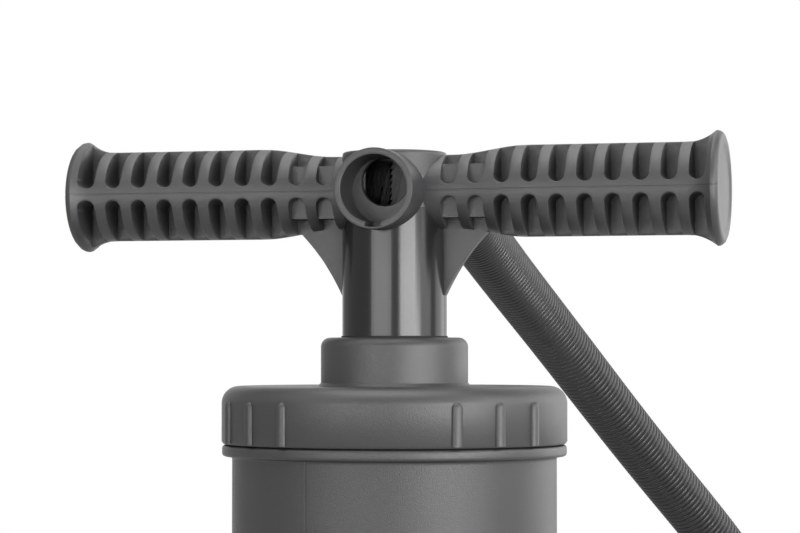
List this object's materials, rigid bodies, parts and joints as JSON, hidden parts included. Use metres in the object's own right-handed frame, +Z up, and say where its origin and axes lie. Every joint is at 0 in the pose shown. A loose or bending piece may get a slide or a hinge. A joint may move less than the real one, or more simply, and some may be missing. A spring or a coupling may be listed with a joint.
{
  "type": "double action hand pump",
  "caption": "Upright double action hand air pump with a slotted T-handle, hollow glossy rod, ribbed screw cap, round barrel, foot base and a ribbed hose with a stepped nozzle.",
  "frame": {"origin": "on the floor, under the barrel's axis at the middle of the base", "axes": "+Z up along the rod, X along the T-handle, -Y towards the open front socket, +Y towards the hose"},
  "size_m": [0.2775, 0.6336, 0.3688],
  "materials": {
    "moulded_grey": "fine matte moulded texture",
    "gloss_black_rod": "polished",
    "hose_grey": "satin ribbed hose",
    "black_rubber": "matte rubber",
    "guide_plastic": "satin",
    "screw_steel": "zinc plated"
  },
  "bodies": {
    "barrel": {"base": "moulded_grey", "barrel": "moulded_grey", "screw_cap": "moulded_grey", "cap_gasket": "black_rubber", "rod_seal": "black_rubber", "guide_retainer": "guide_plastic", "bottom_bumper": "black_rubber", "retainer_screw_1": "screw_steel", "retainer_screw_2": "screw_steel", "retainer_screw_3": "screw_steel", "base_screw_1": "screw_steel", "base_screw_2": "screw_steel", "base_screw_3": "screw_steel", "base_screw_4": "screw_steel", "rubber_foot_1": "black_rubber", "rubber_foot_2": "black_rubber", "rubber_foot_3": "black_rubber", "rubber_foot_4": "black_rubber", "tread_left": "black_rubber", "tread_right": "black_rubber"},
    "swivel": {"rod_guide": "guide_plastic", "air_hose": "hose_grey", "hose_end_cuff": "moulded_grey", "nozzle": "moulded_grey"},
    "handle": {"handle": "moulded_grey", "piston_rod": "gloss_black_rod", "rod_divider": "guide_plastic", "piston_upper_plate": "guide_plastic", "piston_body": "guide_plastic", "piston_lower_plate": "guide_plastic", "piston_seal": "black_rubber", "piston_screw_1": "screw_steel", "piston_screw_2": "screw_steel", "piston_screw_3": "screw_steel", "piston_screw_4": "screw_steel", "inlet_keeper_upper": "guide_plastic", "inlet_keeper_lower": "guide_plastic", "outlet_keeper_upper": "guide_plastic", "outlet_keeper_lower": "guide_plastic"},
    "connector": {"hose_connector": "moulded_grey"},
    "flap_inlet_upper": {"inlet_flap_upper": "black_rubber"},
    "flap_inlet_lower": {"inlet_flap_lower": "black_rubber"},
    "flap_outlet_upper": {"outlet_flap_upper": "black_rubber"},
    "flap_outlet_lower": {"outlet_flap_lower": "black_rubber"}
  },
  "joints": [
    {"name": "rod_swivel", "type": "hinge", "parent": "barrel", "child": "swivel", "pos_m": [0, 0, 0.3037], "axis": [0, 0, 1], "continuous": true},
    {"name": "pump_stroke", "type": "slide", "parent": "swivel", "child": "handle", "axis": [0, 0, 1], "range_m": [0, 0.215], "deforming": ["air_hose"]},
    {"name": "connector_twist", "type": "hinge", "parent": "handle", "child": "connector", "pos_m": [0, 0.0267, 0.3506], "axis": [0, 1, 0], "range_deg": [-45, 0]},
    {"name": "inlet_upper_open", "type": "hinge", "parent": "handle", "child": "flap_inlet_upper", "pos_m": [0, -0.0245, 0.0531], "axis": [-1, 0, 0], "range_deg": [0, 18], "stiffness_Nm_per_rad": 0.01},
    {"name": "inlet_lower_open", "type": "hinge", "parent": "handle", "child": "flap_inlet_lower", "pos_m": [0, -0.0245, 0.0271], "axis": [1, 0, 0], "range_deg": [0, 18], "stiffness_Nm_per_rad": 0.01},
    {"name": "outlet_upper_open", "type": "hinge", "parent": "handle", "child": "flap_outlet_upper", "pos_m": [0, 0.0245, 0.0467], "axis": [-1, 0, 0], "range_deg": [0, 18], "stiffness_Nm_per_rad": 0.01},
    {"name": "outlet_lower_open", "type": "hinge", "parent": "handle", "child": "flap_outlet_lower", "pos_m": [0, 0.0245, 0.0335], "axis": [1, 0, 0], "range_deg": [0, 18], "stiffness_Nm_per_rad": 0.01}
  ]
}
